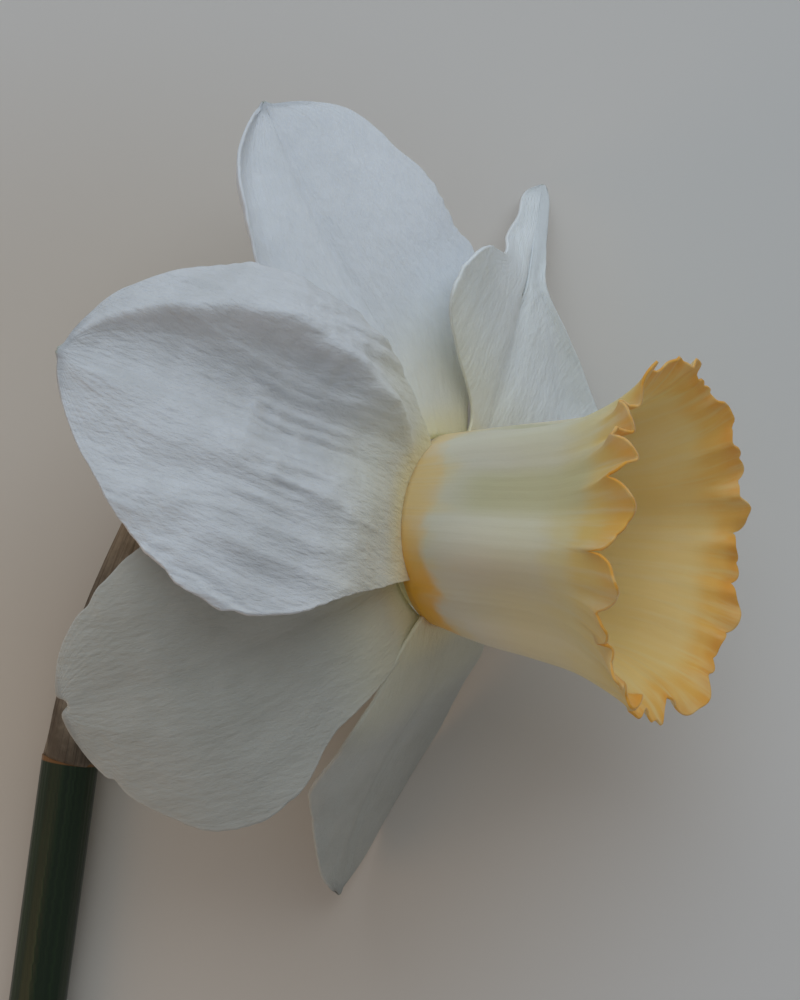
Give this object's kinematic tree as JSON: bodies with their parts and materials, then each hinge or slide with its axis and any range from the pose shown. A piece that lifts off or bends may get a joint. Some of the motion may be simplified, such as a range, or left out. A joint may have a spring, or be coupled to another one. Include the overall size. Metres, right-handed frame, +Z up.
{
  "type": "daffodil flower",
  "caption": "Cut daffodil lying on its side: pale petals swept back round a frilled yellow trumpet, on a short hollow green stem.",
  "frame": {"origin": "on the surface the flower lies on, under the middle of its overall box", "axes": "+Z up from the surface; +Y towards the flower's end, along the way the stem lies; +X the way the trumpet points"},
  "size_m": [0.0984, 0.2089, 0.0575],
  "materials": {
    "petal_white": "matte",
    "trumpet_yellow": "matte",
    "tube_green": "matte",
    "stem_green": "satin",
    "sheath_brown": "matte",
    "stamen_yellow": "matte",
    "style_pale": "satin"
  },
  "bodies": {
    "root": {"petal_near": "petal_white", "petal_far": "petal_white", "petal_low": "petal_white", "sepal_top": "petal_white", "sepal_low": "petal_white", "sepal_under": "petal_white", "corona": "trumpet_yellow", "floral_tube": "tube_green", "ovary": "stem_green", "pedicel": "stem_green", "stem": "stem_green", "spathe": "sheath_brown", "style": "style_pale", "stamen_1": "stamen_yellow", "stamen_2": "stamen_yellow", "stamen_3": "stamen_yellow", "stamen_4": "stamen_yellow", "stamen_5": "stamen_yellow", "stamen_6": "stamen_yellow"}
  },
  "joints": []
}
